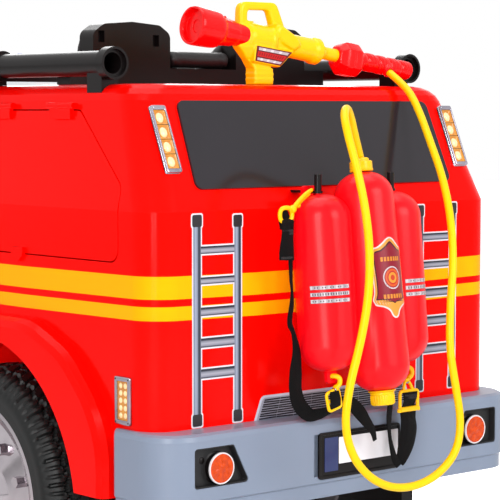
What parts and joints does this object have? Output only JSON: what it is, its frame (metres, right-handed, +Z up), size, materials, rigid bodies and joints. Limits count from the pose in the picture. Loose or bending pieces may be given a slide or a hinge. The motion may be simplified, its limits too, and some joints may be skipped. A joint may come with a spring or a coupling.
{
  "type": "ride-on toy fire engine",
  "caption": "Child's two-seat electric ride-on fire engine with steered front wheels, opening doors and side hatches, roof rails, pump water gun, back-pack tank and hose.",
  "frame": {"origin": "on the ground under the middle of the toy", "axes": "+X to the toy's left, +Y to its rear, +Z up; it drives towards -Y"},
  "size_m": [0.63, 1.381, 0.8035],
  "materials": {
    "red_body": "glossy red blow-moulded shell",
    "grey_bumper": "satin blue-grey moulding",
    "black_plastic": "satin black moulding",
    "dark_panel": "glossy dark film",
    "chrome": "plated plastic",
    "amber": "amber lens",
    "lamp_clear": "clear lamp with bright reflector",
    "clear_panel": "clear plastic",
    "blue_lens": "blue beacon lens",
    "leather": "black grained leatherette",
    "battery_case": "plain case",
    "steel": "zinc-plated steel",
    "tank_red": "satin blow-moulded red",
    "yellow_plastic": "yellow moulding",
    "gun_red": "glossy red moulding",
    "hose_yellow": "soft yellow tube",
    "webbing": "black woven webbing",
    "tyre": "off-road tread"
  },
  "bodies": {
    "vehicle": {"chassis_tray": "black_plastic", "rear_body": "red_body", "front_body": "red_body", "side_steps": "black_plastic", "rear_bumper": "grey_bumper", "front_bumper": "grey_bumper", "front_grille": "black_plastic", "headlamps": "lamp_clear", "rear_window": "dark_panel", "lamp_bezels": "chrome", "lamp_lenses": "amber", "windshield_frame": "black_plastic", "windshield": "clear_panel", "roof_rails": "black_plastic", "light_bar_base": "black_plastic", "light_bar_domes": "blue_lens", "dashboard": "black_plastic", "seat_shell": "black_plastic", "seat_cushions": "leather", "seat_backrests": "leather", "battery": "battery_case", "drive_motors": "black_plastic", "rear_axle": "steel", "front_axle_beam": "steel", "water_tanks": "tank_red", "tank_caps": "yellow_plastic", "tank_hooks": "black_plastic", "tank_straps": "webbing", "strap_buckles": "yellow_plastic", "gun_body": "yellow_plastic", "gun_nozzle": "gun_red", "gun_grip": "gun_red", "hose": "hose_yellow"},
    "knuckle_left": {"knuckle_left": "steel"},
    "knuckle_right": {"knuckle_right": "steel"},
    "tie_rod": {"tie_rod": "steel"},
    "steering_wheel": {"steering_wheel": "black_plastic"},
    "door_left": {"door_left": "red_body"},
    "door_right": {"door_right": "red_body"},
    "hatch_left": {"hatch_left": "red_body"},
    "hatch_right": {"hatch_right": "red_body"},
    "wheel_front_left": {"tyre_front_left": "tyre", "rim_front_left": "chrome"},
    "wheel_front_right": {"tyre_front_right": "tyre", "rim_front_right": "chrome"},
    "wheel_rear_left": {"tyre_rear_left": "tyre", "rim_rear_left": "chrome"},
    "wheel_rear_right": {"tyre_rear_right": "tyre", "rim_rear_right": "chrome"}
  },
  "joints": [
    {"name": "steer_left", "type": "hinge", "parent": "vehicle", "child": "knuckle_left", "pos_m": [0.2, -0.426, 0.169], "axis": [0, 0, 1], "range_deg": [-20, 20]},
    {"name": "steer_right", "type": "hinge", "parent": "vehicle", "child": "knuckle_right", "pos_m": [-0.2, -0.426, 0.169], "axis": [0, 0, 1], "range_deg": [-20, 20]},
    {"name": "spin_front_left", "type": "hinge", "parent": "knuckle_left", "child": "wheel_front_left", "pos_m": [0.265, -0.426, 0.169], "axis": [1, 0, 0], "continuous": true},
    {"name": "spin_rear_left", "type": "hinge", "parent": "vehicle", "child": "wheel_rear_left", "pos_m": [0.265, 0.224, 0.169], "axis": [1, 0, 0], "continuous": true},
    {"name": "spin_front_right", "type": "hinge", "parent": "knuckle_right", "child": "wheel_front_right", "pos_m": [-0.265, -0.426, 0.169], "axis": [1, 0, 0], "continuous": true},
    {"name": "spin_rear_right", "type": "hinge", "parent": "vehicle", "child": "wheel_rear_right", "pos_m": [-0.265, 0.224, 0.169], "axis": [1, 0, 0], "continuous": true},
    {"name": "steering_wheel_turn", "type": "hinge", "parent": "vehicle", "child": "steering_wheel", "pos_m": [0.105, -0.15, 0.47], "axis": [0, 0.7071, 0.7071], "range_deg": [-32, 32]},
    {"name": "tie_rod_slide", "type": "slide", "parent": "vehicle", "child": "tie_rod", "axis": [1, 0, 0], "range_m": [-0.021, 0.021]},
    {"name": "door_left_swing", "type": "hinge", "parent": "vehicle", "child": "door_left", "pos_m": [0.2943, -0.259, 0.46], "axis": [0, 0, -1], "range_deg": [0, 65]},
    {"name": "hatch_left_lift", "type": "hinge", "parent": "vehicle", "child": "hatch_left", "pos_m": [0.27205, 0.287, 0.6723], "axis": [0, -1, 0], "range_deg": [0, 80]},
    {"name": "door_right_swing", "type": "hinge", "parent": "vehicle", "child": "door_right", "pos_m": [-0.2943, -0.259, 0.46], "axis": [0, 0, 1], "range_deg": [0, 65]},
    {"name": "hatch_right_lift", "type": "hinge", "parent": "vehicle", "child": "hatch_right", "pos_m": [-0.27205, 0.287, 0.6723], "axis": [0, 1, 0], "range_deg": [0, 80]}
  ],
  "couplings": [
    {"joint": "steer_right", "follows": "steer_left", "ratio": 1},
    {"joint": "steering_wheel_turn", "follows": "steer_left", "ratio": 1.6},
    {"joint": "tie_rod_slide", "follows": "steer_left", "m_per_rad": -0.06}
  ]
}
